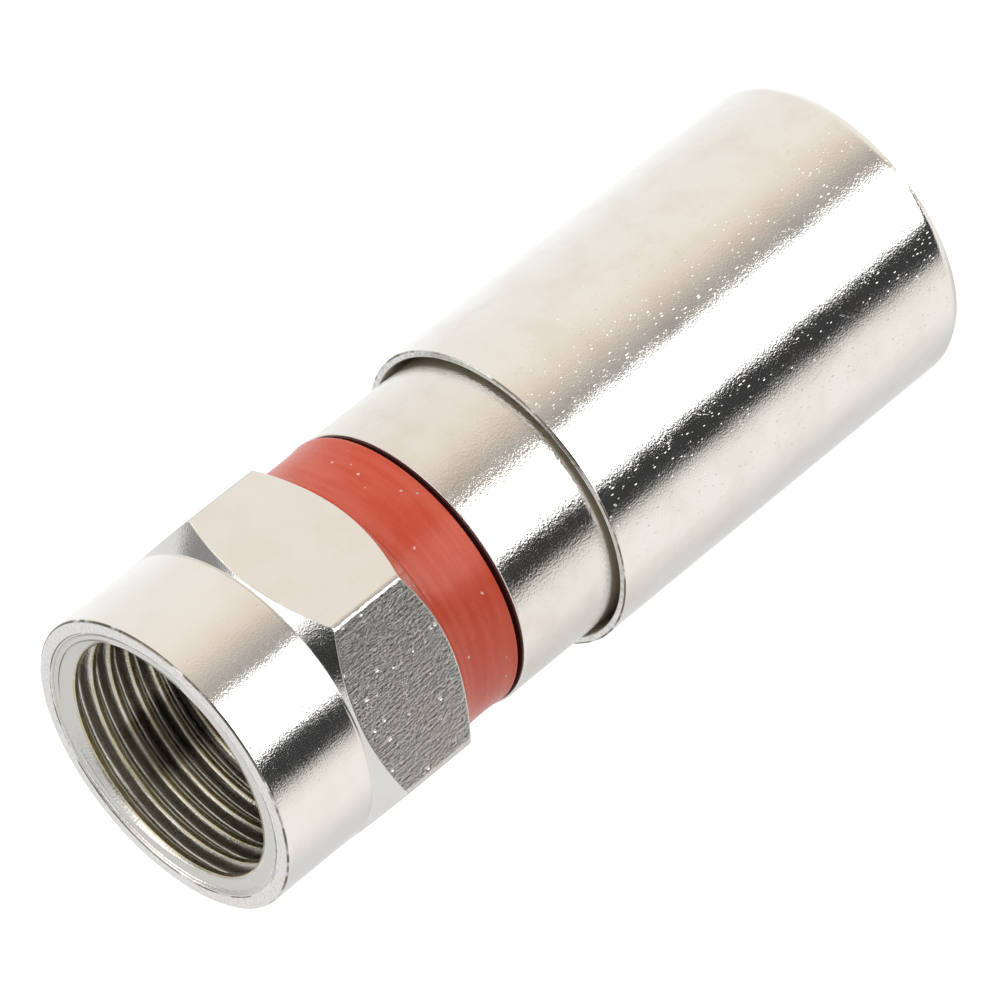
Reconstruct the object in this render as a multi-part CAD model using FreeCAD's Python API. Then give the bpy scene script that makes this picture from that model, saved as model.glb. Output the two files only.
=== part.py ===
import FreeCAD, Part
import math
import os

# Compression F connector for coaxial cable, standing on the rear end of its sleeve. The axis is +Z:
# the sleeve's rear end is at z = 0 and the nut's mouth looks up. Millimetres.

# Thread of the port, 3/8-32 UNEF, from which the walls below build up every radius
THREAD_MAJOR_D = 9.525
THREAD_PITCH = 0.79375
THREAD_HEIGHT_IN_PITCHES = 0.5413

# Coupling nut
NUT_LENGTH = 8.2
SKIRT_WALL = 0.7625
SKIRT_LENGTH = 3.86
HEX_STEP = 0.03
HEX_CORNER_ROUND = 0.3
HEX_REAR_SETBACK = 0.09
FRONT_CHAMFER_ANGLE = 36.0
REAR_CHAMFER_ANGLE = 41.0
RIM_ROUND = 0.12
MOUTH_LEAD = 0.2675
MOUTH_DRAFT = 0.17
MOUTH_DEPTH = 0.32
MOUTH_CONE = 0.3
WEB_THICKNESS = 1.45
RELIEF_LENGTH = 0.9
RELIEF_DEPTH = 0.15

# Post
FLANGE_IN_THREAD = 0.18
FLANGE_STEP = 0.75
COLLAR_STEP = 0.6
TUBE_WALL = 0.35
COLLAR_GRIP = 3.7
FLANGE_THICKNESS = 0.75
BARB_HEIGHT = 0.28
BARB_LENGTH = 1.6
BARB_NOSE = 0.5
POST_SETBACK = 4.4

# Connector body
SPIGOT_WALL = 0.85
BODY_SHOULDER = 0.98
BODY_WALL = 1.13
BODY_ROUND = 0.12
BODY_EXPOSED = 4.23
FRONT_WALL = 1.5
LEAD_IN = 0.3

# Marker ring
RING_LENGTH = 2.83
RING_FRONT_STEP = 0.12
RING_WAIST_SETBACK = 0.09
RING_REAR_SETBACK = 0.03
RING_GROOVE_DEPTH = 0.35
RING_GROOVE_WIDTH = 0.2
RING_LIP_BREAK = 0.06

# Compression sleeve
SLEEVE_LENGTH = 16.37
SLEEVE_MOUTH_WALL = 0.266
SLEEVE_MOUTH_GAP = 0.204
SLEEVE_MOUTH_DEPTH = 4.67
SLEEVE_STEP = 0.5
SLEEVE_EDGE_BREAK = 0.04
REAR_HOLE_MARGIN = 0.25
REAR_LIP = 1.3
TAPER_LENGTH = 3.2
REAR_BEVEL_HEIGHT = 0.3
REAR_BEVEL_WIDTH = 0.15

# Sleeve seal
SEAL_HEIGHT = 0.6
SEAL_WIDTH = 0.72
SEAL_CORNER = 0.2
SEAL_BEHIND_MOUTH = 6.2

# Clearances
RUNNING = 0.05
SEAL_GAP = 0.02
SEAL_SIDE_GAP = 0.09
NUT_TO_RING = 0.07
NUT_TO_SPIGOT = 0.12
STOP_GAP = 0.03
GRIP_GAP = 0.02
SQUEEZE_GAP = 0.1

# Radii, worked out from the sizes
SKIRT_R = THREAD_MAJOR_D / 2 + SKIRT_WALL
HEX_FLAT_R = SKIRT_R + HEX_STEP
HEX_CORNER_R = HEX_FLAT_R / math.cos(math.radians(30))
THREAD_MINOR_R = THREAD_MAJOR_D / 2 - THREAD_HEIGHT_IN_PITCHES * THREAD_PITCH
FLANGE_R = THREAD_MINOR_R - FLANGE_IN_THREAD
COLLAR_R = FLANGE_R - FLANGE_STEP
TUBE_R = COLLAR_R - COLLAR_STEP
CORE_BORE_R = TUBE_R - TUBE_WALL
SPIGOT_R = COLLAR_R + SPIGOT_WALL
BODY_R = SPIGOT_R + BODY_SHOULDER
JACKET_BORE_R = BODY_R - BODY_WALL
SLEEVE_BORE_R = BODY_R + RUNNING
SLEEVE_MOUTH_R = BODY_R + SLEEVE_MOUTH_GAP
SLEEVE_R = SLEEVE_MOUTH_R + SLEEVE_MOUTH_WALL
REAR_HOLE_R = JACKET_BORE_R + REAR_HOLE_MARGIN

# Places along the axis, worked out from the sizes
SLEEVE_TRAVEL = BODY_EXPOSED - STOP_GAP
Z_TAPER_TOP = REAR_LIP + TAPER_LENGTH
Z_POST_REAR = REAR_LIP + POST_SETBACK
Z_BODY_REAR = Z_TAPER_TOP + SLEEVE_TRAVEL + SQUEEZE_GAP
Z_BODY_FRONT = SLEEVE_LENGTH + BODY_EXPOSED
Z_RING_FRONT = Z_BODY_FRONT + RING_LENGTH
Z_NUT_REAR = Z_RING_FRONT + NUT_TO_RING
Z_SPIGOT_FRONT = Z_NUT_REAR - NUT_TO_SPIGOT
Z_WEB = Z_NUT_REAR + WEB_THICKNESS
Z_NUT_FRONT = Z_NUT_REAR + NUT_LENGTH
Z_CONE_START = Z_NUT_FRONT - SKIRT_LENGTH
Z_FLANGE_REAR = Z_WEB + RUNNING
Z_FLANGE_FRONT = Z_FLANGE_REAR + FLANGE_THICKNESS
Z_COLLAR_REAR = Z_SPIGOT_FRONT - COLLAR_GRIP
Z_SEAL = SLEEVE_LENGTH - SEAL_BEHIND_MOUTH


def rounded_face(corners):
    """Closed half section in the XZ plane. Each corner is (radius, height, corner round)."""
    edges = []
    start = None
    previous = None
    count = len(corners)
    for index in range(count):
        r, z, round_off = corners[index]
        here = FreeCAD.Vector(r, 0, z)
        r_before, z_before, _ = corners[index - 1]
        r_after, z_after, _ = corners[(index + 1) % count]
        inward = (FreeCAD.Vector(r_before, 0, z_before) - here).normalize()
        onward = (FreeCAD.Vector(r_after, 0, z_after) - here).normalize()
        if round_off > 0:
            half = inward.getAngle(onward) / 2
            reach = round_off / math.tan(half)
            bisector = (inward + onward).normalize()
            centre = here + bisector * (round_off / math.sin(half))
            first = here + inward * reach
            middle = centre - bisector * round_off
            last = here + onward * reach
        else:
            first = here
            last = here
        if previous is not None:
            edges.append(Part.LineSegment(previous, first).toShape())
        if round_off > 0:
            edges.append(Part.Arc(first, middle, last).toShape())
        if start is None:
            start = first
        previous = last
    edges.append(Part.LineSegment(previous, start).toShape())
    return Part.Face(Part.Wire(edges))


def turned(corners):
    """A lathe-turned solid: the half section swept once round the axis."""
    return rounded_face(corners).revolve(FreeCAD.Vector(0, 0, 0), FreeCAD.Vector(0, 0, 1), 360)


def hexagon_bar(z_low, z_high):
    """Six-sided bar with two corners on the Y axis and its long edges slightly rounded."""
    points = []
    for index in range(7):
        angle = math.radians(30 + 60 * index)
        points.append(FreeCAD.Vector(HEX_CORNER_R * math.cos(angle), HEX_CORNER_R * math.sin(angle), z_low))
    bar = Part.Face(Part.makePolygon(points)).extrude(FreeCAD.Vector(0, 0, z_high - z_low))
    upright = []
    for edge in bar.Edges:
        if abs(edge.Vertexes[0].Z - edge.Vertexes[1].Z) > (z_high - z_low) / 2:
            upright.append(edge)
    return bar.makeFillet(HEX_CORNER_ROUND, upright)


def nut_bore():
    """What is cut out of the nut: lead wall and cone of the mouth, thread, relief, web hole."""
    mouth_r = THREAD_MAJOR_D / 2 + MOUTH_LEAD
    relief_r = THREAD_MAJOR_D / 2 + RELIEF_DEPTH
    web_hole_r = COLLAR_R + RUNNING
    z_relief = Z_WEB + RELIEF_LENGTH
    over = NUT_LENGTH / 10
    return turned([
        (0, Z_NUT_REAR - over, 0),
        (web_hole_r, Z_NUT_REAR - over, 0),
        (web_hole_r, Z_WEB, 0),
        (relief_r, Z_WEB, 0),
        (relief_r, z_relief, 0),
        (THREAD_MINOR_R, z_relief + relief_r - THREAD_MINOR_R, 0),
        (THREAD_MINOR_R, Z_NUT_FRONT - MOUTH_DEPTH - MOUTH_CONE, 0),
        (mouth_r - MOUTH_DRAFT, Z_NUT_FRONT - MOUTH_DEPTH, 0),
        (mouth_r, Z_NUT_FRONT, 0),
        (mouth_r, Z_NUT_FRONT + over, 0),
        (0, Z_NUT_FRONT + over, 0)])


def coupling_nut():
    """Round skirt in front, hexagon with both ends turned to a cone, web that turns on the post."""
    front_slope = math.tan(math.radians(FRONT_CHAMFER_ANGLE))
    rear_slope = math.tan(math.radians(REAR_CHAMFER_ANGLE))
    hex_rear_r = HEX_FLAT_R - HEX_REAR_SETBACK
    envelope = turned([
        (0, Z_NUT_REAR, 0),
        (hex_rear_r, Z_NUT_REAR, 0),
        (HEX_CORNER_R, Z_NUT_REAR + (HEX_CORNER_R - hex_rear_r) * rear_slope, 0),
        (HEX_CORNER_R, Z_CONE_START - (HEX_CORNER_R - SKIRT_R) * front_slope, 0),
        (SKIRT_R, Z_CONE_START, 0),
        (0, Z_CONE_START, 0)])
    head = hexagon_bar(Z_NUT_REAR, Z_CONE_START).common(envelope)
    skirt = turned([
        (0, Z_CONE_START, 0),
        (SKIRT_R, Z_CONE_START, 0),
        (SKIRT_R, Z_NUT_FRONT, RIM_ROUND),
        (0, Z_NUT_FRONT, 0)])
    return head.fuse(skirt).removeSplitter().cut(nut_bore())


def post():
    """Flange held inside the nut, collar pressed into the body, thin barbed tube for the cable."""
    edge = TUBE_WALL / 3
    barb_r = TUBE_R + BARB_HEIGHT
    flange_break = FLANGE_THICKNESS / 5
    z_nose = Z_POST_REAR + BARB_NOSE
    return turned([
        (CORE_BORE_R, Z_POST_REAR, 0),
        (TUBE_R - edge, Z_POST_REAR, 0),
        (barb_r, z_nose, 0),
        (barb_r, z_nose + BARB_NOSE / 2, 0),
        (TUBE_R, Z_POST_REAR + BARB_LENGTH, 0),
        (TUBE_R, Z_COLLAR_REAR - COLLAR_STEP, 0),
        (COLLAR_R, Z_COLLAR_REAR, 0),
        (COLLAR_R, Z_FLANGE_REAR, 0),
        (FLANGE_R, Z_FLANGE_REAR, 0),
        (FLANGE_R, Z_FLANGE_FRONT - flange_break, 0),
        (FLANGE_R - flange_break, Z_FLANGE_FRONT, 0),
        (CORE_BORE_R + edge, Z_FLANGE_FRONT, 0),
        (CORE_BORE_R, Z_FLANGE_FRONT - edge, 0)])


def connector_body():
    """Turned shell: spigot for the marker ring, front wall round the post, open rear for the cable."""
    z_wall = Z_BODY_FRONT - FRONT_WALL
    shell = turned([
        (JACKET_BORE_R + LEAD_IN, Z_BODY_REAR, 0),
        (BODY_R - LEAD_IN / 2, Z_BODY_REAR, 0),
        (BODY_R, Z_BODY_REAR + LEAD_IN, 0),
        (BODY_R, Z_BODY_FRONT, BODY_ROUND),
        (SPIGOT_R, Z_BODY_FRONT, 0),
        (SPIGOT_R, Z_SPIGOT_FRONT, 0),
        (COLLAR_R, Z_SPIGOT_FRONT, 0),
        (COLLAR_R, z_wall, 0),
        (JACKET_BORE_R, z_wall - (JACKET_BORE_R - COLLAR_R) / 2, 0),
        (JACKET_BORE_R, Z_BODY_REAR + LEAD_IN, 0)])
    groove_r = SLEEVE_BORE_R - SEAL_GAP - SEAL_HEIGHT - SEAL_GAP
    outside_r = BODY_R + SEAL_HEIGHT
    half = SEAL_WIDTH / 2 + SEAL_SIDE_GAP
    groove = turned([
        (groove_r, Z_SEAL - half, 0),
        (outside_r, Z_SEAL - half, 0),
        (outside_r, Z_SEAL + half, 0),
        (groove_r, Z_SEAL + half, 0)])
    return shell.cut(groove)


def marker_ring():
    """Coloured rubber ring, waisted and flared to the nut, with a groove where it meets the body."""
    z_lip = Z_BODY_FRONT + RING_GROOVE_WIDTH
    groove_r = BODY_R - RING_REAR_SETBACK - RING_GROOVE_DEPTH
    rear_r = BODY_R - RING_REAR_SETBACK
    front_r = BODY_R + RING_FRONT_STEP
    blank = turned([
        (SPIGOT_R, Z_BODY_FRONT, 0),
        (groove_r, Z_BODY_FRONT, 0),
        (groove_r, z_lip, 0),
        (rear_r - RING_LIP_BREAK, z_lip, 0),
        (rear_r, z_lip + RING_LIP_BREAK, 0),
        (front_r, Z_RING_FRONT - RING_LIP_BREAK, 0),
        (front_r - RING_LIP_BREAK, Z_RING_FRONT, 0),
        (SPIGOT_R, Z_RING_FRONT, 0)])
    low = FreeCAD.Vector(rear_r, 0, z_lip + RING_LIP_BREAK)
    waist = FreeCAD.Vector(BODY_R - RING_WAIST_SETBACK, 0, (z_lip + Z_RING_FRONT) / 2)
    high = FreeCAD.Vector(front_r, 0, Z_RING_FRONT - RING_LIP_BREAK)
    saddle = Part.Wire([Part.Arc(low, waist, high).toShape(), Part.LineSegment(high, low).toShape()])
    turn = Part.Face(saddle).revolve(FreeCAD.Vector(0, 0, 0), FreeCAD.Vector(0, 0, 1), 360)
    return blank.cut(turn)


def compression_sleeve():
    """Thin-mouthed tube over the body; its bore tapers behind, where it squeezes the grip ring."""
    z_step = SLEEVE_LENGTH - SLEEVE_MOUTH_DEPTH
    return turned([
        (REAR_HOLE_R + LEAD_IN, 0, 0),
        (SLEEVE_R - REAR_BEVEL_WIDTH, 0, 0),
        (SLEEVE_R, REAR_BEVEL_HEIGHT, 0),
        (SLEEVE_R, SLEEVE_LENGTH - SLEEVE_EDGE_BREAK, 0),
        (SLEEVE_R - SLEEVE_EDGE_BREAK, SLEEVE_LENGTH, 0),
        (SLEEVE_MOUTH_R + SLEEVE_EDGE_BREAK, SLEEVE_LENGTH, 0),
        (SLEEVE_MOUTH_R, SLEEVE_LENGTH - SLEEVE_EDGE_BREAK, 0),
        (SLEEVE_MOUTH_R, z_step, 0),
        (SLEEVE_BORE_R, z_step - SLEEVE_STEP, 0),
        (SLEEVE_BORE_R, Z_TAPER_TOP, 0),
        (REAR_HOLE_R, REAR_LIP, 0),
        (REAR_HOLE_R, LEAD_IN, 0)])


def grip_ring():
    """Plastic wedge ring that lies in the sleeve's taper and closes on the cable's jacket."""
    slope = (SLEEVE_BORE_R - REAR_HOLE_R) / TAPER_LENGTH
    return turned([
        (JACKET_BORE_R, REAR_LIP + GRIP_GAP, 0),
        (REAR_HOLE_R + slope * GRIP_GAP - GRIP_GAP, REAR_LIP + GRIP_GAP, 0),
        (SLEEVE_BORE_R - GRIP_GAP, Z_TAPER_TOP, 0),
        (JACKET_BORE_R, Z_TAPER_TOP, 0)])


def sleeve_seal():
    """Rubber O-ring in the body's groove, pressed flat inside and outside, that holds the sleeve."""
    outer_r = SLEEVE_BORE_R - SEAL_GAP
    inner_r = outer_r - SEAL_HEIGHT
    half = SEAL_WIDTH / 2
    flat = half - SEAL_CORNER
    return turned([
        (inner_r, Z_SEAL - flat, 0),
        (inner_r + SEAL_CORNER, Z_SEAL - half, 0),
        (outer_r - SEAL_CORNER, Z_SEAL - half, 0),
        (outer_r, Z_SEAL - flat, 0),
        (outer_r, Z_SEAL + flat, 0),
        (outer_r - SEAL_CORNER, Z_SEAL + half, 0),
        (inner_r + SEAL_CORNER, Z_SEAL + half, 0),
        (inner_r, Z_SEAL + flat, 0)])


os.makedirs("parts", exist_ok=True)
PIECES = {
    "coupling_nut": coupling_nut(),
    "post": post(),
    "connector_body": connector_body(),
    "marker_ring": marker_ring(),
    "sleeve_seal": sleeve_seal(),
    "compression_sleeve": compression_sleeve(),
    "grip_ring": grip_ring(),
}
for name, shape in PIECES.items():
    if len(shape.Solids) != 1 or not shape.isValid():
        raise RuntimeError(name + " is not one valid solid")
    shape.Solids[0].exportStep("parts/" + name + ".step")
    print(name, round(shape.Volume, 2), "mm3")
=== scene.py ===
"""Compression F connector for coaxial cable, standing on the rear end of its sleeve, mouth upwards.

The pieces follow one another as the connector is put together, from the coupling nut to the sleeve.
Sizes in the sections are millimetres and become metres where a mesh is made.
"""

import math

import bpy
import numpy as np
from mathutils import Matrix


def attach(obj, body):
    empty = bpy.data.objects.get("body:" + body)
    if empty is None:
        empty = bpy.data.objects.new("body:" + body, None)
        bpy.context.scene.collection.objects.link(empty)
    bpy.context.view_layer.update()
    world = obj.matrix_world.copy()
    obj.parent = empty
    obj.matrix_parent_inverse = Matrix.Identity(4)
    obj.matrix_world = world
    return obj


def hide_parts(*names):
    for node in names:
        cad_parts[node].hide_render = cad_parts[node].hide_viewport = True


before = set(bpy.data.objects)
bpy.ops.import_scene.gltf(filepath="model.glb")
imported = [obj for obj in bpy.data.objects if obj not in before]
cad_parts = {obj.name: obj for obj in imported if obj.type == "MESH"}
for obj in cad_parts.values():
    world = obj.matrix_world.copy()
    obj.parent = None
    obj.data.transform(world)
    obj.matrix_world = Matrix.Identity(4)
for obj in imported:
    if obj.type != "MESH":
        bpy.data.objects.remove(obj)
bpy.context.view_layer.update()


# Coupling nut: turned from drawn hexagon brass bar, tapped 3/8-32 in front and plated with nickel.
# Its web turns freely behind the flange of the post. The skirt is turned round and both ends of the
# hexagon are chamfered to a cone, so each flat ends in a shallow curve.
nut_rear = 23.50
nut_front = 31.70
skirt_radius = 5.525
skirt_start = 27.84
neck_radius = 5.468
flat_radius = 5.555
flat_corner_round = 0.30
flat_bow = 0.03
front_slope = math.tan(math.radians(36.0))
rear_slope = math.tan(math.radians(41.0))
thread_major = 4.7625
thread_minor = 4.333
thread_pitch = 0.79375
thread_start = 0.22
mouth_radius = 5.03
web_hole_radius = 3.453
web_top = 24.95
relief_radius = 4.9125
relief_top = 25.85


def rounded_section(corners, arc_rows=6, brace=0.03):
    """Half section of a turned piece, as an array (corner, row, radius or height, angle) in mm.

    Each corner P is (radius, height, cut). It becomes the curve (1-s)^2 A + 2s(1-s) P + s^2 C, whose
    ends A and C lie `cut` before and after P, with one more row a little beyond each end, which
    keeps the shading of the walls flat. Radii and heights may be arrays over the angle.
    """
    wide = max(np.size(value) for corner in corners for value in corner)
    here = np.array([[np.broadcast_to(v, wide) for v in corner[:2]] for corner in corners], float)
    cut = np.array([np.broadcast_to(corner[2], wide) for corner in corners], float)[:, None, :]
    back = np.roll(here, 1, axis=0) - here
    ahead = np.roll(here, -1, axis=0) - here
    back_length = np.linalg.norm(back, axis=1, keepdims=True)
    ahead_length = np.linalg.norm(ahead, axis=1, keepdims=True)
    cut = np.minimum(cut, 0.45 * np.minimum(back_length, ahead_length))
    back = back / back_length
    ahead = ahead / ahead_length
    first = here + back * cut
    last = here + ahead * cut
    s = np.linspace(0.0, 1.0, arc_rows)[None, :, None, None]
    curve = ((1 - s) ** 2 * first[:, None] + 2 * s * (1 - s) * here[:, None] + s ** 2 * last[:, None])
    before = first + back * np.minimum(brace, 0.04 * back_length)
    after = last + ahead * np.minimum(brace, 0.04 * ahead_length)
    return np.concatenate([before[:, None], curve, after[:, None]], axis=1)


def turned_piece(name, section, angles):
    """Mesh of a section that runs anticlockwise in (radius, height), carried round the axis.

    Vertex (row, angle) is at (r cos angle, r sin angle, z), and both directions close on themselves.
    """
    rows = section.reshape(-1, 2, section.shape[-1])
    r = np.broadcast_to(rows[:, 0], (len(rows), len(angles))) * 0.001
    z = np.broadcast_to(rows[:, 1], (len(rows), len(angles))) * 0.001
    points = np.stack([r * np.cos(angles), r * np.sin(angles), z], axis=-1).reshape(-1, 3)
    index = np.arange(len(points)).reshape(r.shape)
    right = np.roll(index, -1, axis=1)
    up = np.roll(index, -1, axis=0)
    faces = np.stack([index, right, np.roll(up, -1, axis=1), up], axis=-1).reshape(-1, 4)
    mesh = bpy.data.meshes.new(name)
    mesh.vertices.add(len(points))
    mesh.vertices.foreach_set("co", points.astype(np.float32).ravel())
    mesh.loops.add(faces.size)
    mesh.loops.foreach_set("vertex_index", faces.astype(np.int32).ravel())
    mesh.polygons.add(len(faces))
    mesh.polygons.foreach_set("loop_start", np.arange(0, faces.size, 4, dtype=np.int32))
    mesh.update(calc_edges=True)
    mesh.validate()
    mesh.shade_smooth()
    piece = bpy.data.objects.new(name, mesh)
    bpy.context.scene.collection.objects.link(piece)
    return piece


def hexagon_radius(angle):
    """Distance from the axis to the hexagon's side at each angle, in mm.

    On a flat it is a / cos(p), p being the angle from the middle of the flat. Near a corner it is the
    far side of the round there, a circle centred c out: c cos(q) + sqrt(round^2 - c^2 sin(q)^2),
    q being the angle from the corner. Two of the corners lie on the Y axis. The drawn flats are a
    little convex: all this shrinks by bow (tan p / tan 30)^2 / a, the same for the whole corner.
    """
    from_flat = np.abs((angle + math.pi / 6) % (math.pi / 3) - math.pi / 6)
    from_corner = math.pi / 6 - from_flat
    centre = (flat_radius - flat_corner_round) / math.cos(math.pi / 6)
    inside = np.maximum(flat_corner_round ** 2 - (centre * np.sin(from_corner)) ** 2, 0.0)
    rounded = centre * np.cos(from_corner) + np.sqrt(inside)
    flat_end = math.atan2((flat_radius - flat_corner_round) * math.tan(math.pi / 6), flat_radius)
    sharp = np.where(from_flat > flat_end, rounded, flat_radius / np.cos(from_flat))
    along = np.tan(np.minimum(from_flat, flat_end)) / math.tan(math.pi / 6)
    return sharp * (1 - flat_bow * along ** 2 / flat_radius)


def bore_radius(angle, height):
    """Radius of the tapped bore: the largest of the thread, the mouth's lead and the relief's cone.

    The thread's phase is height / pitch - angle / 2 pi - start, a right-hand helix. u is the distance
    from the middle of a crest in pitches; the radius goes from the minor to the major one between
    u = 1/8 and u = 7/16, which gives 60 degree flanks, eased a little at both ends. The lead is a short
    stepped wall that is wider than the thread, and then a ledge down to the minor radius.
    """
    phase = height / thread_pitch - angle / (2 * math.pi) - thread_start
    u = np.abs((phase + 0.5) % 1.0 - 0.5)
    flank = np.clip((u - 0.105) / 0.3525, 0.0, 1.0)
    eased = flank - 0.057 * np.sin(2 * math.pi * flank)
    thread = thread_minor + (thread_major - thread_minor) * eased
    lead = np.interp(nut_front - height, [0.0, 0.05, 0.06, 0.09, 0.10, 0.12],
                     [mouth_radius, 5.02, 4.95, 4.94, 4.75, thread_minor])
    relief_cone = relief_radius - (height - relief_top)
    return np.maximum(np.maximum(thread, lead), relief_cone)


# The columns crowd towards the six corners: angle = u + 0.7 sin(6 u) / 6.
nut_steps = np.linspace(0.0, 2 * math.pi, 348, endpoint=False)
nut_angles = nut_steps + 0.7 * np.sin(6 * nut_steps) / 6
side = hexagon_radius(nut_angles)
hex_rear_radius = flat_radius - 0.09
nut_corners = rounded_section([
    (web_hole_radius, nut_rear, 0.08),
    (hex_rear_radius, nut_rear, 0.03),
    (side, nut_rear + (side - hex_rear_radius) * rear_slope, 0.06),
    (side, skirt_start - (side - neck_radius) * front_slope, 0.015),
    (neck_radius, skirt_start, 0.01),
    (skirt_radius, skirt_start + 0.12, 0.05),
    (skirt_radius, nut_front, 0.12),
    (mouth_radius, nut_front, 0.03),
    (mouth_radius - 0.004, nut_front - 0.04, 0.005),
    (thread_minor, relief_top + relief_radius - thread_minor, 0.01),
    (relief_radius, relief_top, 0.06),
    (relief_radius, web_top, 0.10),
    (web_hole_radius, web_top, 0.08)])
thread_heights = np.concatenate([
    np.linspace(nut_front - 0.045, nut_front - 0.42, 50, endpoint=False),
    np.linspace(nut_front - 0.42, relief_top + 0.10, 128)])[:, None]
thread_rows = bore_radius(nut_angles[None, :], thread_heights)
bore_rows = np.stack([thread_rows, np.broadcast_to(thread_heights, thread_rows.shape)], axis=1)
nut_section = np.concatenate([
    nut_corners[:8].reshape(-1, 2, len(nut_angles)),
    bore_rows,
    nut_corners[10:].reshape(-1, 2, len(nut_angles))])
coupling_nut = turned_piece("coupling_nut_plated", nut_section, nut_angles)


def add_node(tree, kind, inputs=None, **settings):
    """Adds a shader node; an input is a number, a tuple or another node's output socket."""
    made = tree.nodes.new(kind)
    for key, value in settings.items():
        setattr(made, key, value)
    for key, value in (inputs or {}).items():
        if isinstance(value, bpy.types.NodeSocket):
            tree.links.new(value, made.inputs[key])
        else:
            made.inputs[key].default_value = value
    return made


def math_node(tree, operation, *values):
    """Output of a Math node that works on up to three values or sockets."""
    return add_node(tree, "ShaderNodeMath", dict(enumerate(values)), operation=operation).outputs[0]


def ease(tree, value, low, high):
    """Smooth step from 0 at low to 1 at high."""
    return add_node(tree, "ShaderNodeMapRange", {"Value": value, "From Min": low, "From Max": high},
                    interpolation_type="SMOOTHSTEP").outputs["Result"]


def surface_group(name, inputs, outputs):
    """Empty node group for one effect of the surface, with its group input and output nodes."""
    group = bpy.data.node_groups.new(name, "ShaderNodeTree")
    for label, kind, value in inputs:
        socket = group.interface.new_socket(label, in_out="INPUT", socket_type=kind)
        if kind != "NodeSocketVector":
            socket.default_value = value
    for label, kind in outputs:
        group.interface.new_socket(label, in_out="OUTPUT", socket_type=kind)
    return group, group.nodes.new("NodeGroupInput"), group.nodes.new("NodeGroupOutput")


def millimetre_noise(tree, vector, per_mm, detail=2.0, rough=0.5):
    """Noise of the object's place, with about per_mm waves in a millimetre, from 0 to 1."""
    return add_node(tree, "ShaderNodeTexNoise", {"Vector": vector, "Scale": per_mm * 1000.0,
                    "Detail": detail, "Roughness": rough}).outputs["Fac"]


# Turning marks: fine rings round the axis from the lathe tool. The noise is read at (x/r, y/r) times
# Waver and at height plus 0.8 r times Lines, so that the marks run round walls and end faces alike.
turning_marks, marks_in, marks_out = surface_group("turning marks", [
    ("Vector", "NodeSocketVector", None),
    ("Lines per mm", "NodeSocketFloat", 8.0),
    ("Waver", "NodeSocketFloat", 1.5)], [("Height", "NodeSocketFloat")])
marks_place = add_node(turning_marks, "ShaderNodeSeparateXYZ", {0: marks_in.outputs["Vector"]}).outputs
marks_radius = math_node(turning_marks, "SQRT", math_node(turning_marks, "ADD",
                         math_node(turning_marks, "MULTIPLY", marks_place[0], marks_place[0]),
                         math_node(turning_marks, "MULTIPLY", marks_place[1], marks_place[1])))
marks_along = math_node(turning_marks, "MULTIPLY_ADD", marks_radius, 0.8, marks_place[2])
marks_lines = math_node(turning_marks, "MULTIPLY", marks_in.outputs["Lines per mm"], 1000.0)
marks_round = [math_node(turning_marks, "MULTIPLY", marks_in.outputs["Waver"],
               math_node(turning_marks, "DIVIDE", marks_place[axis], marks_radius)) for axis in (0, 1)]
marks_read = add_node(turning_marks, "ShaderNodeCombineXYZ", {0: marks_round[0], 1: marks_round[1],
                      2: math_node(turning_marks, "MULTIPLY", marks_along, marks_lines)}).outputs[0]
marks_noise = add_node(turning_marks, "ShaderNodeTexNoise", {"Vector": marks_read, "Scale": 1.0,
                       "Detail": 3.0, "Roughness": 0.6})
turning_marks.links.new(marks_noise.outputs["Fac"], marks_out.inputs["Height"])

# Plating skin: the soft orange peel of barrel plating, with small dents knocked in while the parts
# tumble. Peel is noise; a dent is a smooth bowl round the centre of one Voronoi cell in a few.
plating_skin, skin_in, skin_out = surface_group("plating skin", [
    ("Vector", "NodeSocketVector", None),
    ("Peel per mm", "NodeSocketFloat", 8.0),
    ("Dents per mm", "NodeSocketFloat", 4.5),
    ("Dent share", "NodeSocketFloat", 0.5),
    ("Dent stretch", "NodeSocketFloat", 1.0)],
    [("Peel", "NodeSocketFloat"), ("Dents", "NodeSocketFloat")])
peel_scale = math_node(plating_skin, "MULTIPLY", skin_in.outputs["Peel per mm"], 1000.0)
peel_noise = add_node(plating_skin, "ShaderNodeTexNoise", {"Vector": skin_in.outputs["Vector"],
                      "Scale": peel_scale, "Detail": 2.5, "Roughness": 0.55})
dent_scale = math_node(plating_skin, "MULTIPLY", skin_in.outputs["Dents per mm"], 1000.0)
dent_place = add_node(plating_skin, "ShaderNodeSeparateXYZ", {0: skin_in.outputs["Vector"]}).outputs
dent_read = add_node(plating_skin, "ShaderNodeCombineXYZ", {0: dent_place[0], 1: dent_place[1],
                     2: math_node(plating_skin, "MULTIPLY", dent_place[2],
                                  skin_in.outputs["Dent stretch"])}).outputs[0]
dent_cells = add_node(plating_skin, "ShaderNodeTexVoronoi", {"Vector": dent_read,
                      "Scale": dent_scale})
dent_draw = add_node(plating_skin, "ShaderNodeSeparateColor", {0: dent_cells.outputs["Color"]}).outputs
dent_chosen = math_node(plating_skin, "LESS_THAN", dent_draw[0], skin_in.outputs["Dent share"])
dent_size = math_node(plating_skin, "MULTIPLY_ADD", dent_draw[1], 0.22, 0.10)
dent_depth = math_node(plating_skin, "SUBTRACT", 1.0,
                       ease(plating_skin, dent_cells.outputs["Distance"], 0.0, dent_size))
plating_skin.links.new(peel_noise.outputs["Fac"], skin_out.inputs["Peel"])
plating_skin.links.new(math_node(plating_skin, "MULTIPLY", dent_depth, dent_chosen),
                       skin_out.inputs["Dents"])

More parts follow.
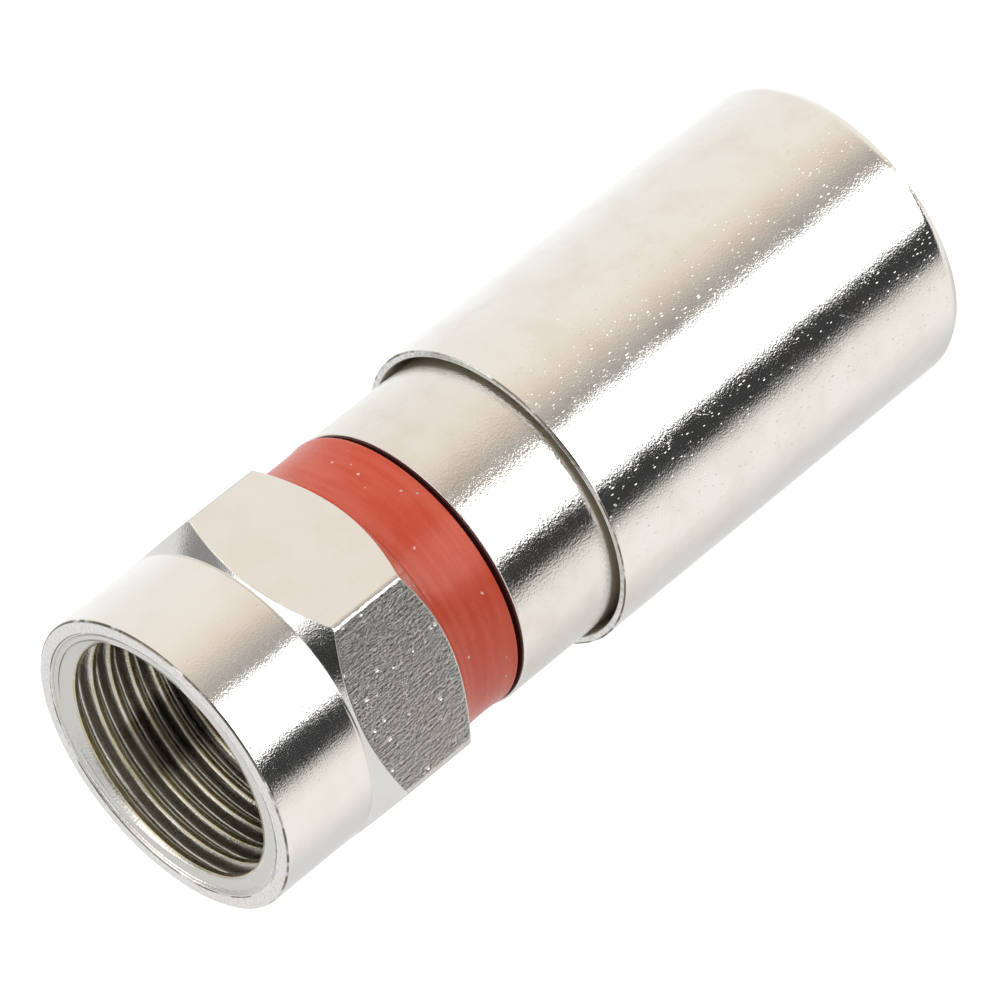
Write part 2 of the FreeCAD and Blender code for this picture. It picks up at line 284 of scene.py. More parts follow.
# Draw streaks: long fine lines along the axis, left by the die on drawn bar and by handling. Noise
# with many waves across the streak and few along it.
draw_streaks, streaks_in, streaks_out = surface_group("draw streaks", [
    ("Vector", "NodeSocketVector", None),
    ("Across per mm", "NodeSocketFloat", 12.0),
    ("Along per mm", "NodeSocketFloat", 0.8)], [("Height", "NodeSocketFloat")])
streaks_place = add_node(draw_streaks, "ShaderNodeSeparateXYZ",
                         {0: streaks_in.outputs["Vector"]}).outputs
streaks_across = math_node(draw_streaks, "MULTIPLY", streaks_in.outputs["Across per mm"], 1000.0)
streaks_along = math_node(draw_streaks, "MULTIPLY", streaks_in.outputs["Along per mm"], 1000.0)
streaks_read = add_node(draw_streaks, "ShaderNodeCombineXYZ", {
    0: math_node(draw_streaks, "MULTIPLY", streaks_place[0], streaks_across),
    1: math_node(draw_streaks, "MULTIPLY", streaks_place[1], streaks_across),
    2: math_node(draw_streaks, "MULTIPLY", streaks_place[2], streaks_along)}).outputs[0]
streaks_noise = add_node(draw_streaks, "ShaderNodeTexNoise", {"Vector": streaks_read, "Scale": 1.0,
                         "Detail": 3.0, "Roughness": 0.65})
draw_streaks.links.new(streaks_noise.outputs["Fac"], streaks_out.inputs["Height"])


def mixed(tree, share, first, second):
    """Colour from first to second by a share from 0 to 1; each is (red, green, blue) or a socket."""
    ends = [(*end, 1.0) if isinstance(end, tuple) else end for end in (first, second)]
    return add_node(tree, "ShaderNodeMix", {"Factor": share, "A": ends[0], "B": ends[1]},
                    data_type="RGBA").outputs["Result"]


def nickel_plate(name, colour, stain, roughness, peel, dents, marks, scratches, inside, end_face,
                 peel_per_mm=12.0, dent_kind=(4.5, 0.5, 1.0), marks_per_mm=8.0, streaks=0.6,
                 chatter=0.0, flats=None, edges=(), painted_shade=0.0):
    """Bright nickel over turned brass. peel, dents, marks, streaks and scratches are micrometres high.

    The heights of the groups are added up and drive one Bump. The other lengths are metres here.
    dent_kind: dents per mm, the share of them that is there, and their stretch, which below 1 draws
    them out along the axis. inside: radius, colour, worn colour, roughness and metal share of the
    bore, where the plating is thin and the brass shows through; chatter is how rough it is. The last
    argument is how strong the painted shade is deep in the bore, on one side. end_face: height,
    colour, second colour and roughness of the end that was cut last and is smoother. flats: the level
    of height plus slope times radius below which a hexagon's drawn flats lie, that slope, their least
    radius, their streaks in micrometres, and the direction of the one flat that came out smooth.
    edges: radius, height and width of each sharp edge that gets a dark brown band.
    """
    inner, inner_colour, inner_worn, inner_rough, inner_metal = inside
    end_height, end_colour, end_second, end_rough = end_face
    made = bpy.data.materials.new(name)
    made.use_nodes = True
    tree = made.node_tree
    shader = tree.nodes["Principled BSDF"]
    place = add_node(tree, "ShaderNodeTexCoord").outputs["Object"]
    xyz = add_node(tree, "ShaderNodeSeparateXYZ", {0: place}).outputs
    across_axis = add_node(tree, "ShaderNodeCombineXYZ", {0: xyz[0], 1: xyz[1]}).outputs[0]
    radius = add_node(tree, "ShaderNodeVectorMath", {0: across_axis}, operation="LENGTH").outputs["Value"]
    outside = ease(tree, radius, inner - 0.00002, inner + 0.00002)
    at_end = ease(tree, xyz[2], end_height - 0.00001, end_height + 0.00001)

    # Heights: handling streaks, peel that is stronger in patches, dents, and the bore's chatter.
    marks_made = add_node(tree, "ShaderNodeGroup", {"Vector": place, "Lines per mm": marks_per_mm},
                          node_tree=turning_marks)
    skin_made = add_node(tree, "ShaderNodeGroup", {"Vector": place, "Peel per mm": peel_per_mm,
                         "Dents per mm": dent_kind[0], "Dent share": dent_kind[1],
                         "Dent stretch": dent_kind[2]}, node_tree=plating_skin)
    streaks_made = add_node(tree, "ShaderNodeGroup", {"Vector": place}, node_tree=draw_streaks)
    patches = ease(tree, millimetre_noise(tree, place, 0.5, 2.0), 0.30, 0.65)
    peel_height = math_node(tree, "MULTIPLY", math_node(tree, "MULTIPLY_ADD", patches, 0.6, 0.7), peel)
    height = math_node(tree, "MULTIPLY", streaks_made.outputs["Height"], streaks)
    height = math_node(tree, "MULTIPLY_ADD", skin_made.outputs["Peel"], peel_height, height)
    height = math_node(tree, "MULTIPLY_ADD", skin_made.outputs["Dents"], -dents, height)
    torn_bore = add_node(tree, "ShaderNodeGroup", {"Vector": place, "Lines per mm": 2.6,
                         "Waver": 62.0}, node_tree=turning_marks).outputs["Height"]
    chatter_height = math_node(tree, "MULTIPLY", math_node(tree, "SUBTRACT", 1.0, outside), chatter)
    height = math_node(tree, "MULTIPLY_ADD", torn_bore, chatter_height, height)

    # Drawn flats: no turning marks there, but pits and torn streaks, except on the smooth one.
    if flats is not None:
        flat_level, cone_slope, flat_least, flat_streaks, smooth_way = flats
        around = add_node(tree, "ShaderNodeVectorMath", {0: across_axis}, operation="NORMALIZE")
        towards = add_node(tree, "ShaderNodeVectorMath", {0: around.outputs[0], 1: smooth_way},
                           operation="DOT_PRODUCT").outputs["Value"]
        smooth = math_node(tree, "MULTIPLY", ease(tree, towards, 0.860, 0.872), 0.90)
        level = math_node(tree, "MULTIPLY_ADD", radius, cone_slope, xyz[2])
        drawn = math_node(tree, "MULTIPLY", math_node(tree, "LESS_THAN", level, flat_level),
                          math_node(tree, "GREATER_THAN", radius, flat_least))
        marks = math_node(tree, "MULTIPLY_ADD", drawn, -marks, marks)
        drawn = math_node(tree, "MULTIPLY", drawn, math_node(tree, "SUBTRACT", 1.0, smooth))
        pitted = add_node(tree, "ShaderNodeGroup", {"Vector": place, "Peel per mm": 8.0,
                          "Dents per mm": 3.6, "Dent share": 0.5, "Dent stretch": 0.7},
                          node_tree=plating_skin)
        pit_height = math_node(tree, "MULTIPLY_ADD", pitted.outputs["Peel"], 16.0,
                               math_node(tree, "MULTIPLY", pitted.outputs["Dents"], -20.0))
        height = math_node(tree, "MULTIPLY_ADD", pit_height, drawn, height)
        for across, along, share in ((9.0, 0.55, 0.8), (17.0, 2.4, 1.0), (30.0, 6.0, 0.35)):
            torn = add_node(tree, "ShaderNodeGroup", {"Vector": place, "Across per mm": across,
                            "Along per mm": along}, node_tree=draw_streaks).outputs["Height"]
            torn_height = math_node(tree, "MULTIPLY", drawn, flat_streaks * share)
            height = math_node(tree, "MULTIPLY_ADD", torn, torn_height, height)
    height = math_node(tree, "MULTIPLY_ADD", marks_made.outputs["Height"], marks, height)

    # Scratches: the crests of two slanting sets of streaks and of one set of rings.
    for turn_axis, turn in (((1.0, 0.2, 0.0), 0.42), ((0.3, 1.0, 0.0), -0.7)):
        turned_place = add_node(tree, "ShaderNodeVectorRotate", {"Vector": place, "Axis": turn_axis,
                                "Angle": turn}, rotation_type="AXIS_ANGLE").outputs[0]
        lines = add_node(tree, "ShaderNodeGroup", {"Vector": turned_place, "Across per mm": 5.0,
                         "Along per mm": 0.3}, node_tree=draw_streaks).outputs["Height"]
        height = math_node(tree, "MULTIPLY_ADD", ease(tree, lines, 0.68, 0.72), -scratches, height)
    rings = add_node(tree, "ShaderNodeGroup", {"Vector": place, "Lines per mm": 5.0, "Waver": 5.0},
                     node_tree=turning_marks).outputs["Height"]
    height = math_node(tree, "MULTIPLY_ADD", ease(tree, rings, 0.70, 0.74), -scratches, height)
    height = math_node(tree, "MULTIPLY", height, math_node(tree, "MULTIPLY_ADD", at_end, -0.75, 1.0))
    bump = add_node(tree, "ShaderNodeBump", {"Strength": 1.0, "Distance": 1e-6, "Height": height})
    tree.links.new(bump.outputs["Normal"], shader.inputs["Normal"])

    # Colours: clouded nickel, grey dirt in the flats, the grained end face, and dark brown bands along
    # sharp edges.
    cloud = millimetre_noise(tree, place, 0.7, 6.0, 0.6)
    tint = mixed(tree, ease(tree, cloud, 0.40, 0.70), colour, stain)
    if flats is not None:
        tint = mixed(tree, math_node(tree, "MULTIPLY", drawn, 0.35), tint, (0.30, 0.29, 0.28))
    grains = ease(tree, millimetre_noise(tree, place, 7.0, 4.0, 0.65), 0.42, 0.62)
    tint = mixed(tree, at_end, tint, mixed(tree, grains, end_colour, end_second))
    # Each listed sharp edge gets a dark brown band, broken up where the cloud noise is low.
    for edge_radius, edge_height, edge_width in edges:
        spot = add_node(tree, "ShaderNodeCombineXYZ", {0: radius, 1: xyz[2]}).outputs[0]
        away = add_node(tree, "ShaderNodeVectorMath", {0: spot, 1: (edge_radius, edge_height, 0.0)},
                        operation="DISTANCE").outputs["Value"]
        dark_edge_band = math_node(tree, "SUBTRACT", 1.0, ease(tree, away, edge_width * 0.7, edge_width))
        dark_edge_band = math_node(tree, "MULTIPLY", dark_edge_band, ease(tree, cloud, 0.40, 0.52))
        tint = mixed(tree, dark_edge_band, tint, (0.20, 0.17, 0.13))

    # The bore is worn to brass on its narrowest parts, such as a thread's crests.
    worn_through = math_node(tree, "MULTIPLY", math_node(tree, "LESS_THAN", radius, inner * 0.876),
                             ease(tree, rings, 0.30, 0.52))
    bore = mixed(tree, worn_through, inner_colour, inner_worn)
    # Painted shade: deep in the bore, on the side towards +Y, the colour is mixed towards near black.
    if painted_shade:
        shade_way = add_node(tree, "ShaderNodeVectorMath", {0: across_axis, 1: (0.174, 0.985, 0.0)},
                           operation="DOT_PRODUCT").outputs["Value"]
        shade_side = ease(tree, math_node(tree, "DIVIDE", shade_way, radius), 0.955, 0.990)
        shade_depth = math_node(tree, "SUBTRACT", painted_shade, ease(tree, xyz[2], 0.0297, 0.0307))
        bore = mixed(tree, math_node(tree, "MULTIPLY", shade_side, shade_depth), bore, (0.10, 0.08, 0.06))
    tree.links.new(mixed(tree, outside, bore, tint), shader.inputs["Base Color"])
    worn = add_node(tree, "ShaderNodeMapRange", {"Value": marks_made.outputs["Height"],
                    "From Min": 0.3, "From Max": 0.7, "To Min": roughness * 0.8,
                    "To Max": roughness * 1.25}).outputs["Result"]
    worn = add_node(tree, "ShaderNodeMix", {"Factor": at_end, "A": worn, "B": end_rough})
    dull = add_node(tree, "ShaderNodeMix", {"Factor": outside, "A": inner_rough,
                    "B": worn.outputs["Result"]})
    tree.links.new(dull.outputs["Result"], shader.inputs["Roughness"])
    metal = add_node(tree, "ShaderNodeMix", {"Factor": outside, "A": inner_metal, "B": 1.0})
    tree.links.new(metal.outputs["Result"], shader.inputs["Metallic"])
    return made


nut_mouth = (mouth_radius - 0.02) * 0.001
nut_end = (nut_front - 0.015) * 0.001
nut_edges = [(skirt_radius - 0.02, nut_front - 0.02, 0.055), (mouth_radius, nut_front, 0.03)]
flat_level = (skirt_start + neck_radius * front_slope - 0.033) * 0.001
flat_least = (flat_radius - 0.02) * 0.001
coupling_nut.data.materials.append(nickel_plate(
    "nut nickel", (0.880, 0.866, 0.838), (0.858, 0.834, 0.796), 0.10, peel=5.0, dents=5.0, marks=8.0,
    scratches=0.9, inside=(nut_mouth, (0.73, 0.71, 0.67), (0.66, 0.59, 0.41), 0.17, 1.0),
    end_face=(nut_end, (0.93, 0.915, 0.90), (0.84, 0.80, 0.76), 0.16), chatter=12.0,
    flats=(flat_level, front_slope, flat_least, 8.0, (0.5, -0.866, 0.0)), peel_per_mm=15.0,
    dent_kind=(3.0, 0.10, 1.0), marks_per_mm=12.0, painted_shade=0.6,
    edges=[tuple(value * 0.001 for value in edge) for edge in nut_edges]))
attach(coupling_nut, "nut")
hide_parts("coupling_nut")


# Post: turned brass tube, plated, whose flange the nut's web turns on. Its collar is pressed into
# the body and its thin barbed end slides between the cable's foil and braid.
round_angles = np.linspace(0.0, 2 * math.pi, 256, endpoint=False)
post_section = rounded_section([
    (2.453, 5.70, 0.03),
    (2.686, 5.70, 0.04),
    (3.083, 6.20, 0.05),
    (3.083, 6.45, 0.05),
    (2.803, 7.30, 0.06),
    (2.803, 19.08, 0.05),
    (3.403, 19.68, 0.03),
    (3.403, 25.00, 0.03),
    (4.153, 25.00, 0.03),
    (4.153, 25.60, 0.04),
    (4.003, 25.75, 0.05),
    (2.570, 25.75, 0.05),
    (2.453, 25.633, 0.04)])
post = turned_piece("post_plated", post_section, round_angles)
post.data.materials.append(nickel_plate(
    "post nickel", (0.855, 0.835, 0.795), (0.82, 0.78, 0.71), 0.20, peel=0.8, dents=0.8, marks=0.8,
    scratches=0.4, inside=(0.00247, (0.76, 0.70, 0.58), (0.74, 0.66, 0.50), 0.28, 1.0),
    end_face=(0.02574, (0.84, 0.82, 0.78), (0.80, 0.77, 0.72), 0.22), streaks=0.2, marks_per_mm=9.0))
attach(post, "connector")
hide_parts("post")


# Connector body: turned brass shell, plated, pressed over the post's collar. The marker ring sits on
# its spigot, the sleeve slides on its outside over the seal's groove, and the cable enters behind.
body_section = rounded_section([
    (4.403, 8.80, 0.04),
    (5.083, 8.80, 0.04),
    (5.233, 9.10, 0.06),
    (5.233, 9.72, 0.05),
    (4.643, 9.72, 0.05),
    (4.643, 10.62, 0.05),
    (5.233, 10.62, 0.05),
    (5.233, 20.60, 0.06),
    (4.253, 20.60, 0.02),
    (4.253, 23.38, 0.05),
    (3.403, 23.38, 0.03),
    (3.403, 19.10, 0.03),
    (4.103, 18.75, 0.08),
    (4.103, 9.10, 0.06)])
connector_body = turned_piece("connector_body_plated", body_section, round_angles)
connector_body.data.materials.append(nickel_plate(
    "body nickel", (0.845, 0.825, 0.785), (0.80, 0.76, 0.70), 0.11, peel=10.0, dents=2.8, marks=0.3,
    scratches=0.8, inside=(0.00415, (0.78, 0.68, 0.48), (0.70, 0.58, 0.36), 0.32, 1.0),
    end_face=(0.02337, (0.80, 0.78, 0.73), (0.76, 0.73, 0.67), 0.25), streaks=1.4))
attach(connector_body, "connector")
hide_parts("connector_body")


# Marker ring: moulded silicone rubber stretched onto the spigot, waisted, flared towards the nut and
# with a narrow groove behind. It sits 0.07 mm to one side. Its colour tells which cable is meant.
ring_low = 20.80
ring_high = 23.43
waist_heights = np.linspace(ring_low + 0.10, ring_high - 0.10, 24)
waist_share = (waist_heights - ring_low) / (ring_high - ring_low)
waist_radii = 5.153 + 0.05 * (1 - waist_share) ** 6 + 0.20 * waist_share ** 5
sideways = 0.07 * np.cos(round_angles)
ring_corners = rounded_section([
    (4.253, 20.60, 0.02),
    (5.170, 20.60, 0.01),
    (5.170, 20.64, 0.01),
    (4.803, 20.66, 0.02),
    (4.803, ring_low, 0.04),
    (5.203 + sideways, ring_low, 0.07),
    (5.353, ring_high, 0.03),
    (4.253, ring_high, 0.02)])
waist_grid = waist_radii[:, None] + (1 - waist_share[:, None] ** 4) * sideways
waist_rows = np.stack([waist_grid, np.broadcast_to(waist_heights[:, None], waist_grid.shape)], axis=1)
ring_section = np.concatenate([
    ring_corners[:6].reshape(-1, 2, 256), waist_rows[1:-1], ring_corners[6:].reshape(-1, 2, 256)])
marker_ring = turned_piece("marker_ring_rubber", ring_section, round_angles)

# Dust specks: pale grains that cling to rubber. A grain fills the middle of one Voronoi cell in a few.
dust_specks, dust_in, dust_out = surface_group("dust specks", [
    ("Vector", "NodeSocketVector", None),
    ("Grains per mm", "NodeSocketFloat", 2.0),
    ("Share", "NodeSocketFloat", 0.1)], [("Mask", "NodeSocketFloat")])
dust_warp = add_node(dust_specks, "ShaderNodeTexNoise", {"Vector": dust_in.outputs["Vector"],
                     "Scale": 9000.0, "Detail": 2.0}).outputs["Color"]
dust_shift = add_node(dust_specks, "ShaderNodeVectorMath", {0: dust_warp, 1: (0.00012,) * 3},
                      operation="MULTIPLY").outputs[0]
dust_read = add_node(dust_specks, "ShaderNodeVectorMath", {0: dust_in.outputs["Vector"],
                     1: dust_shift}, operation="ADD").outputs[0]
dust_cells = add_node(dust_specks, "ShaderNodeTexVoronoi", {"Vector": dust_read, "Scale":
                      math_node(dust_specks, "MULTIPLY", dust_in.outputs["Grains per mm"], 1000.0)})
dust_draw = add_node(dust_specks, "ShaderNodeSeparateColor", {0: dust_cells.outputs["Color"]}).outputs
dust_chosen = math_node(dust_specks, "LESS_THAN", dust_draw[0], dust_in.outputs["Share"])
dust_size = math_node(dust_specks, "MULTIPLY_ADD", dust_draw[1], 0.13, 0.05)
dust_grain = math_node(dust_specks, "SUBTRACT", 1.0, ease(dust_specks, math_node(
    dust_specks, "DIVIDE", dust_cells.outputs["Distance"], dust_size), 0.6, 1.0))
dust_specks.links.new(math_node(dust_specks, "MULTIPLY", dust_grain, dust_chosen),
                      dust_out.inputs["Mask"])

silicone = bpy.data.materials.new("red silicone")
silicone.use_nodes = True
silicone_tree = silicone.node_tree
silicone_shader = silicone_tree.nodes["Principled BSDF"]
silicone_shader.inputs["Subsurface Weight"].default_value = 0.12
silicone_shader.inputs["Subsurface Radius"].default_value = (1.0, 0.25, 0.12)
silicone_shader.inputs["Subsurface Scale"].default_value = 0.0004
silicone_shader.inputs["IOR"].default_value = 1.45
silicone_shader.inputs["Specular IOR Level"].default_value = 0.32
silicone_place = add_node(silicone_tree, "ShaderNodeTexCoord").outputs["Object"]
silicone_lines = add_node(silicone_tree, "ShaderNodeGroup", {"Vector": silicone_place,
                          "Lines per mm": 2.6, "Waver": 1.1}, node_tree=turning_marks).outputs[0]
silicone_dust = add_node(silicone_tree, "ShaderNodeGroup", {"Vector": silicone_place,
                         "Grains per mm": 2.4, "Share": 0.22}, node_tree=dust_specks).outputs[0]
silicone_cloud = millimetre_noise(silicone_tree, silicone_place, 0.9, 3.0, 0.6)
silicone_tone = mixed(silicone_tree, ease(silicone_tree, silicone_lines, 0.35, 0.68),
                      (0.56, 0.072, 0.034), (0.61, 0.108, 0.062))
silicone_haze = math_node(silicone_tree, "MULTIPLY", ease(silicone_tree, silicone_cloud, 0.5, 0.8), 0.22)
silicone_bloom = mixed(silicone_tree, silicone_haze, silicone_tone, (0.66, 0.20, 0.15))
silicone_z = add_node(silicone_tree, "ShaderNodeSeparateXYZ", {0: silicone_place}).outputs[2]
# Painted shade: below 20.74 to 20.82 mm, in the narrow groove behind the ring, the rubber is painted
# nearly black.
silicone_groove_shade = mixed(silicone_tree, ease(silicone_tree, silicone_z, 0.02074, 0.02082),
                      (0.05, 0.012, 0.010), silicone_bloom)
silicone_colour = mixed(silicone_tree, math_node(silicone_tree, "MULTIPLY", silicone_dust, 0.7),
                        silicone_groove_shade, (0.85, 0.72, 0.66))
silicone_tree.links.new(silicone_colour, silicone_shader.inputs["Base Color"])
silicone_rough = add_node(silicone_tree, "ShaderNodeMapRange", {"Value": silicone_cloud,
                          "From Min": 0.3, "From Max": 0.7, "To Min": 0.22, "To Max": 0.32})
silicone_tree.links.new(silicone_rough.outputs["Result"], silicone_shader.inputs["Roughness"])
silicone_height = math_node(silicone_tree, "MULTIPLY_ADD", silicone_lines, 6.0,
                            math_node(silicone_tree, "MULTIPLY", silicone_dust, 8.0))
silicone_bump = add_node(silicone_tree, "ShaderNodeBump", {"Strength": 1.0, "Distance": 1e-6,
                         "Height": silicone_height})
silicone_tree.links.new(silicone_bump.outputs["Normal"], silicone_shader.inputs["Normal"])
marker_ring.data.materials.append(silicone)
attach(marker_ring, "connector")
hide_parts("marker_ring")


# Sleeve seal: black rubber O-ring, pressed flat in the body's groove. It keeps water out and holds
# the sleeve in place by friction until the tool pushes it home.
seal_section = rounded_section([
    (4.663, 9.81, 0.18),
    (5.263, 9.81, 0.18),
    (5.263, 10.53, 0.18),
    (4.663, 10.53, 0.18)], arc_rows=9)
sleeve_seal = turned_piece("sleeve_seal_rubber", seal_section, round_angles)


def moulded_material(name, per_mm, colours, roughness, height):
    """Rubber or plastic from a mould: one noise sets colour, roughness and a height in micrometres."""
    made = bpy.data.materials.new(name)
    made.use_nodes = True
    tree = made.node_tree
    shader = tree.nodes["Principled BSDF"]
    place = add_node(tree, "ShaderNodeTexCoord").outputs["Object"]
    grain = millimetre_noise(tree, place, per_mm, 3.0)
    tree.links.new(mixed(tree, grain, *colours), shader.inputs["Base Color"])
    rough = add_node(tree, "ShaderNodeMapRange", {"Value": grain, "To Min": roughness[0],
                     "To Max": roughness[1]})
    tree.links.new(rough.outputs["Result"], shader.inputs["Roughness"])
    bump = add_node(tree, "ShaderNodeBump", {"Strength": 1.0, "Distance": height * 1e-6,
                    "Height": grain})
    tree.links.new(bump.outputs["Normal"], shader.inputs["Normal"])
    return made


seal_rubber = moulded_material("black seal rubber", 14.0, ((0.012, 0.012, 0.013), (0.030, 0.030, 0.031)),
                               (0.42, 0.62), 2.0)
sleeve_seal.data.materials.append(seal_rubber)
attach(sleeve_seal, "connector")
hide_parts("sleeve_seal")


# Compression sleeve: brass tube drawn and turned thin at its mouth, plated. It stands back from the
# body, and the tool pushes it forward so that its taper closes the grip ring on the cable.
sleeve_section = rounded_section([
    (4.653, 0.00, 0.04),
    (5.553, 0.00, 0.05),
    (5.703, 0.30, 0.10),
    (5.703, 16.37, 0.06),
    (5.437, 16.37, 0.06),
    (5.437, 11.70, 0.06),
    (5.283, 11.20, 0.06),
    (5.283, 4.50, 0.10),
    (4.353, 1.30, 0.10),
    (4.353, 0.30, 0.06)])
compression_sleeve = turned_piece("compression_sleeve_plated", sleeve_section,
                                  np.linspace(0.0, 2 * math.pi, 320, endpoint=False))
compression_sleeve.data.materials.append(nickel_plate(
    "sleeve nickel", (0.885, 0.873, 0.845), (0.845, 0.815, 0.765), 0.055, peel=6.0, dents=6.0, marks=0.1,
    scratches=1.6, inside=(0.00546, (0.64, 0.58, 0.48), (0.58, 0.51, 0.40), 0.45, 0.10),
    end_face=(0.01635, (0.90, 0.89, 0.87), (0.70, 0.69, 0.67), 0.26), peel_per_mm=15.0,
    dent_kind=(13.0, 0.6, 0.25), streaks=1.6, edges=((0.005665, 0.016355, 0.00004),)))
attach(compression_sleeve, "sleeve")
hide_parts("compression_sleeve")


# Grip ring: moulded plastic wedge that lies loose in the sleeve's taper and closes on the jacket of
# the cable as the sleeve goes home.
grip_section = rounded_section([
    (4.103, 1.32, 0.05),
    (4.339, 1.32, 0.04),
    (5.263, 4.50, 0.05),
    (4.103, 4.50, 0.08)])
grip_ring = turned_piece("grip_ring_plastic", grip_section, round_angles)
grip_plastic = moulded_material("natural plastic", 0.8, ((0.74, 0.72, 0.66), (0.80, 0.78, 0.73)),
                                (0.35, 0.50), 3.0)
grip_shader = grip_plastic.node_tree.nodes["Principled BSDF"]
grip_shader.inputs["Subsurface Weight"].default_value = 0.25
grip_shader.inputs["Subsurface Radius"].default_value = (1.0, 0.9, 0.7)
grip_shader.inputs["Subsurface Scale"].default_value = 0.0006
grip_ring.data.materials.append(grip_plastic)
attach(grip_ring, "sleeve")
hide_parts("grip_ring")


# Floor: a wide pale table top. Polished metal would mirror it in full, so glossy rays pass through it
# to the studio round about, as on a sheet of glass. Camera rays add a glow, so that the open floor
# is white and the connector's shadow stays.
floor_mesh = bpy.data.meshes.new("floor")
floor_mesh.from_pydata([(-3, -3, 0), (3, -3, 0), (3, 3, 0), (-3, 3, 0)], [], [(0, 1, 2, 3)])
floor = bpy.data.objects.new("floor", floor_mesh)
bpy.context.scene.collection.objects.link(floor)
floor.visible_glossy = False
floor_paint = bpy.data.materials.new("pale floor")
floor_paint.use_nodes = True
floor_tree = floor_paint.node_tree
floor_shader = floor_tree.nodes["Principled BSDF"]
floor_shader.inputs["Base Color"].default_value = (0.80, 0.80, 0.80, 1.0)
floor_shader.inputs["Roughness"].default_value = 0.9
floor_shader.inputs["Specular IOR Level"].default_value = 0.0
floor_shader.inputs["Emission Color"].default_value = (1.0, 1.0, 1.0, 1.0)
floor_ray = add_node(floor_tree, "ShaderNodeLightPath").outputs["Is Camera Ray"]
floor_tree.links.new(math_node(floor_tree, "MULTIPLY", floor_ray, 0.55),
                     floor_shader.inputs["Emission Strength"])
floor_mesh.materials.append(floor_paint)


# Studio: one large soft lamp on the left and a weaker one on the right light the rubber and the
# floor. The metal mirrors the room: a bright panel, a black flag beside it, and pale walls.
for lamp_name, lamp_place, lamp_width, lamp_power in (
        ("key lamp", (0.36, -0.26, 0.26), 0.40, 1.25),
        ("fill lamp", (-0.40, -0.30, 0.30), 0.50, 0.45)):
    lamp = bpy.data.lights.new(lamp_name, "AREA")
    lamp.shape = "DISK"
    lamp.size = lamp_width
    lamp.energy = lamp_power
    lamp_holder = bpy.data.objects.new(lamp_name, lamp)
    bpy.context.scene.collection.objects.link(lamp_holder)
    lamp_holder.location = lamp_place
    towards = Matrix.Translation((0, 0, 0.016)).to_translation() - lamp_holder.location
    lamp_holder.rotation_euler = towards.to_track_quat("-Z", "Y").to_euler()
    lamp_holder.visible_glossy = False

world = bpy.data.worlds.new("studio")
bpy.context.scene.world = world
world.use_nodes = True
world.cycles.sampling_method = "NONE"
room = world.node_tree
room.nodes.clear()
gaze = add_node(room, "ShaderNodeTexCoord").outputs["Generated"]
gaze_xyz = add_node(room, "ShaderNodeSeparateXYZ", {0: gaze}).outputs
bearing = math_node(room, "ARCTAN2", math_node(room, "MULTIPLY", gaze_xyz[1], -1.0), gaze_xyz[0])
bearing_share = math_node(room, "MULTIPLY_ADD", bearing, 1 / (2 * math.pi), 0.5)
# Bearing in degrees from +X towards -Y, and what stands there.
room_stops = [
    (-180, (0.97, 0.94, 0.91)), (-172, (0.96, 0.93, 0.90)), (-164, (0.97, 0.94, 0.91)),
    (-156, (0.88, 0.85, 0.83)), (-146, (0.80, 0.79, 0.78)), (-138, (0.73, 0.72, 0.71)),
    (-115, (0.72, 0.71, 0.70)), (-104, (0.75, 0.74, 0.74)), (-96, (1.02, 1.02, 1.02)),
    (-70, (1.05, 1.05, 1.04)), (-50, (0.99, 0.99, 0.98)), (-34, (0.95, 0.945, 0.93)),
    (-16, (0.935, 0.895, 0.84)), (28, (0.935, 0.88, 0.80)), (38, (0.90, 0.83, 0.735)),
    (48, (0.84, 0.75, 0.66)), (56, (0.70, 0.62, 0.545)), (64, (0.57, 0.52, 0.46)),
    (72, (0.41, 0.39, 0.37)), (80.5, (0.36, 0.35, 0.34)), (83.5, (3.2, 3.2, 3.2)),
    (122, (3.2, 3.2, 3.2)), (124.5, (0.05, 0.05, 0.05)), (151, (0.045, 0.045, 0.047)),
    (153.5, (0.60, 0.59, 0.57)),
    (163, (0.91, 0.88, 0.84)), (171, (0.97, 0.94, 0.91))]
walls = add_node(room, "ShaderNodeValToRGB", {"Fac": bearing_share})
for extra in range(len(room_stops) - 2):
    walls.color_ramp.elements.new(0.5)
for stop, (degrees, tone) in zip(walls.color_ramp.elements, room_stops):
    stop.position = degrees / 360.0 + 0.5
    stop.color = (tone[0] / 3.2, tone[1] / 3.2, tone[2] / 3.2, 1.0)
walls_light = add_node(room, "ShaderNodeVectorMath", {0: walls.outputs["Color"], 1: (3.2, 3.2, 3.2)},
                       operation="MULTIPLY").outputs[0]
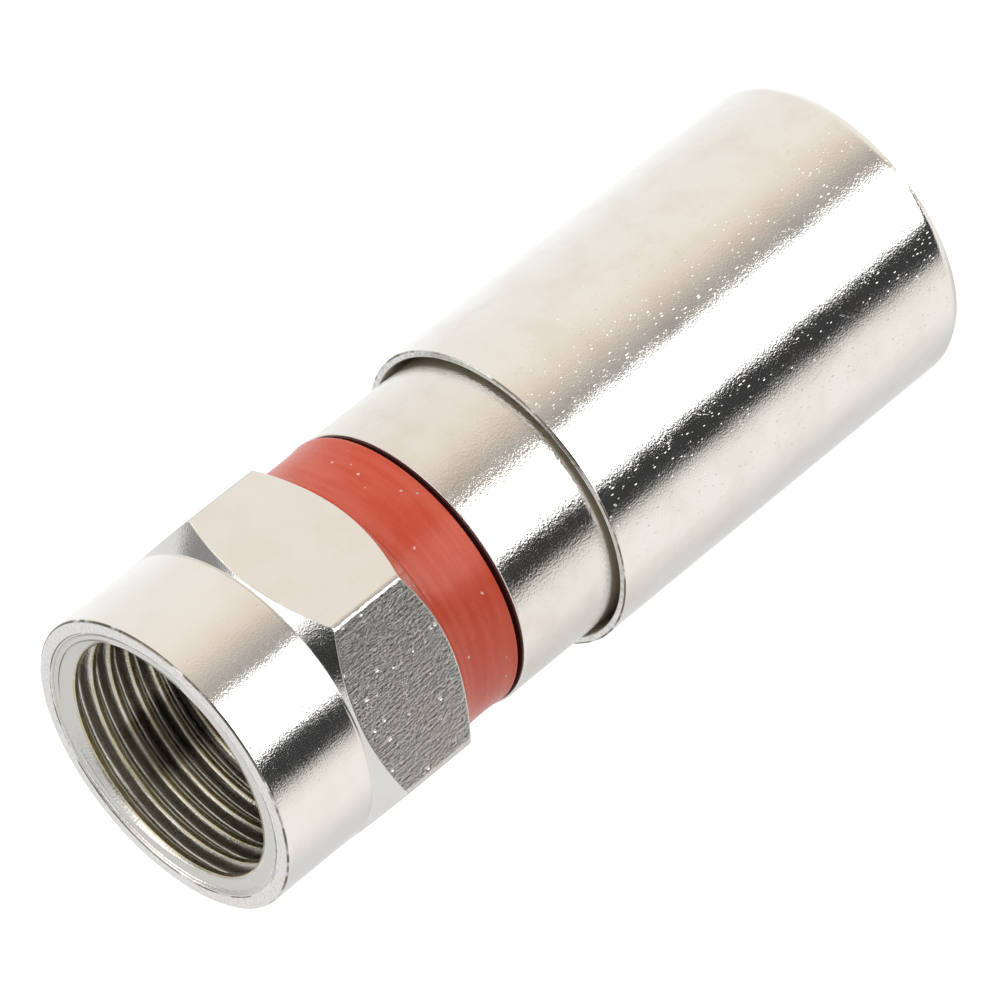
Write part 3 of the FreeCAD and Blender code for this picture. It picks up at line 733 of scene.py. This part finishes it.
# Overhead: pale, with two bright panels and some dark gaps, one round the camera. Each is
# (direction, how near its edge and its middle are as cosines, what it adds).
ceiling = 0.80
for aim, edge, middle, added in (((0.355, -0.035, 0.934), 0.955, 0.970, 0.90),
                                 ((0.36, 0.42, 0.833), 0.982, 0.992, 2.40),
                                 ((-0.10, -0.13, 0.986), 0.968, 0.985, -0.77),
                                 ((-0.05, -0.88, 0.47), 0.90, 0.955, -0.70),
                                 ((-0.04, 0.41, 0.911), 0.989, 0.996, -0.55),
                                 ((0.34, 0.70, 0.63), 0.965, 0.990, -0.30),
                                 ((0.6255, 0.373, 0.684), 0.958, 0.982, -0.52)):
    nearness = add_node(room, "ShaderNodeVectorMath", {0: gaze, 1: aim}, operation="DOT_PRODUCT")
    ceiling = math_node(room, "MULTIPLY_ADD", ease(room, nearness.outputs["Value"], edge, middle),
                        added, ceiling)
ceiling_light = add_node(room, "ShaderNodeCombineXYZ", {0: ceiling, 1: ceiling, 2: ceiling}).outputs[0]
room_light = mixed(room, ease(room, gaze_xyz[2], 0.10, 0.35), walls_light, ceiling_light)
rays = add_node(room, "ShaderNodeLightPath").outputs
mirrored = math_node(room, "MAXIMUM", rays["Is Glossy Ray"], rays["Is Transmission Ray"])
plain = mixed(room, rays["Is Camera Ray"], (0.62, 0.62, 0.62), (1.0, 1.0, 1.0))
seen = mixed(room, mirrored, plain, room_light)
shine = add_node(room, "ShaderNodeBackground", {"Color": seen, "Strength": 1.0})
add_node(room, "ShaderNodeOutputWorld", {"Surface": shine.outputs[0]})


# Camera: a long lens from the -Y side, 28.5 degrees above the horizon, turned about its own axis so
# that the connector lies slantwise across the picture with its mouth at the lower left.
lens = bpy.data.cameras.new("camera")
lens.lens = 275.78
lens.sensor_width = 36.0
lens.clip_start = 0.01
lens.clip_end = 20.0
camera = bpy.data.objects.new("camera", lens)
bpy.context.scene.collection.objects.link(camera)
camera_tilt = Matrix.Rotation(math.radians(61.46), 4, "X")
camera_turn = camera_tilt @ Matrix.Rotation(math.radians(-128.74), 4, "Z")
camera.matrix_world = Matrix.Translation((-0.000114, -0.21828, 0.13501)) @ camera_turn
bpy.context.scene.camera = camera
bpy.context.scene.view_settings.view_transform = "Standard"

bpy.context.view_layer.update()
